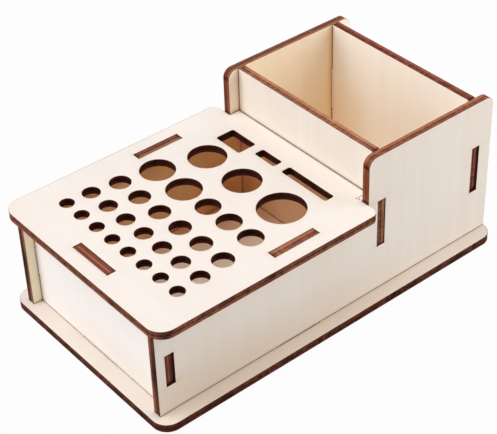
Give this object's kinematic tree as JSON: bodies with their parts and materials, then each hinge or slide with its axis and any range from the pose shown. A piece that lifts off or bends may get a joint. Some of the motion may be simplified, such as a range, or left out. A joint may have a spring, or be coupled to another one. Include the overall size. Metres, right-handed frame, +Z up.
{
  "type": "tool storage caddy",
  "caption": "Flat-pack plywood tool caddy: a low box under a lift-off plate of round holes and slots, with a tall open compartment behind, all on a base board.",
  "frame": {"origin": "middle of the base plate's underside", "axes": "+X from the low front to the tall rear, +Y to the caddy's left, +Z up"},
  "size_m": [0.2444, 0.141, 0.0963],
  "materials": {
    "plywood": "bare pale plywood with dark laser-burnt edges"
  },
  "bodies": {
    "box": {"base_plate": "plywood", "left_side_panel": "plywood", "right_side_panel": "plywood", "front_panel": "plywood", "divider_panel": "plywood", "rear_panel": "plywood"},
    "rack": {"rack_plate": "plywood"}
  },
  "joints": [
    {"name": "rack_lift", "type": "slide", "parent": "box", "child": "rack", "axis": [0, 0, 1], "range_m": [0, 0.06]}
  ]
}
